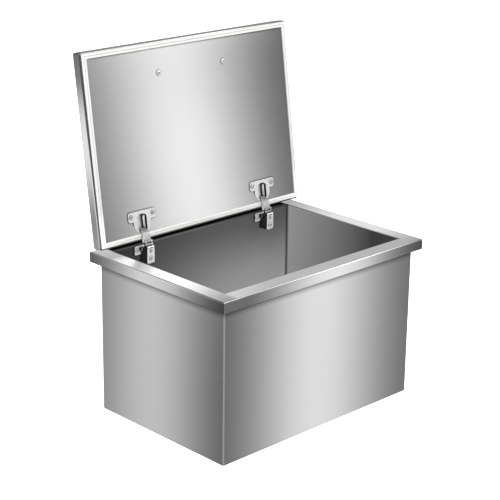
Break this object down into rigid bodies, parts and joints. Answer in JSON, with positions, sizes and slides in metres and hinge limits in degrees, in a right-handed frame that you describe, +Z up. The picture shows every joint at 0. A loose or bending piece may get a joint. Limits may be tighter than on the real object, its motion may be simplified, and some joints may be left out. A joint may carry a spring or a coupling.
{
  "type": "drop-in ice bin",
  "caption": "Insulated stainless drop-in ice bin with a counter rim, a sealed hinged lid on concealed cup hinges and a floor drain, shown with the lid open",
  "frame": {"origin": "centre of the flat base, where the bin stands when it is out of the counter", "axes": "+X right, +Y back towards the hinges, +Z up out of the counter"},
  "size_m": [0.508, 0.4259, 0.6679],
  "materials": {
    "brushed_steel": "brushed",
    "polished_steel": "polished",
    "white_seal": "matt white",
    "insulation_foam": "foamed",
    "black_rubber": "matt black"
  },
  "bodies": {
    "bin": {"rim_frame": "brushed_steel", "inner_liner": "brushed_steel", "outer_shell": "brushed_steel", "bin_foam": "insulation_foam", "drain_body": "polished_steel", "drain_washer": "black_rubber", "drain_nut": "polished_steel", "drain_strainer": "polished_steel", "left_hinge_arm": "polished_steel", "left_mounting_plate": "polished_steel", "left_nut_bar": "brushed_steel", "left_arm_pin": "polished_steel", "left_clamp_screw": "polished_steel", "left_adjusting_screw": "polished_steel", "left_plate_screw_outer": "polished_steel", "left_plate_screw_inner": "polished_steel", "right_hinge_arm": "polished_steel", "right_mounting_plate": "polished_steel", "right_nut_bar": "brushed_steel", "right_arm_pin": "polished_steel", "right_clamp_screw": "polished_steel", "right_adjusting_screw": "polished_steel", "right_plate_screw_outer": "polished_steel", "right_plate_screw_inner": "polished_steel"},
    "hinge_links": {"left_hinge_link": "polished_steel", "right_hinge_link": "polished_steel"},
    "lid": {"lid_outer_skin": "brushed_steel", "lid_inner_panel": "brushed_steel", "lid_foam": "insulation_foam", "lid_gasket": "white_seal", "lid_stiffener": "brushed_steel", "lid_handle": "polished_steel", "handle_screw_left": "polished_steel", "handle_screw_right": "polished_steel", "left_hinge_cup": "polished_steel", "left_cup_spring": "polished_steel", "left_cup_pin": "polished_steel", "left_cup_screw_outer": "polished_steel", "left_cup_screw_inner": "polished_steel", "right_hinge_cup": "polished_steel", "right_cup_spring": "polished_steel", "right_cup_pin": "polished_steel", "right_cup_screw_outer": "polished_steel", "right_cup_screw_inner": "polished_steel"},
    "drain_plug": {"drain_plug": "black_rubber"}
  },
  "joints": [
    {"name": "link_swing", "type": "hinge", "parent": "bin", "child": "hinge_links", "pos_m": [0, 0.1328, 0.3166], "axis": [1, 0, 0], "range_deg": [-48.3, 0]},
    {"name": "lid_swing", "type": "hinge", "parent": "hinge_links", "child": "lid", "pos_m": [0, 0.15167, 0.33447], "axis": [1, 0, 0], "range_deg": [0, 146.3]},
    {"name": "drain_plug_pull", "type": "slide", "parent": "bin", "child": "drain_plug", "axis": [0, 0, 1], "range_m": [0, 0.08]}
  ],
  "couplings": [
    {"joint": "link_swing", "follows": "lid_swing", "ratio": -0.33014}
  ]
}
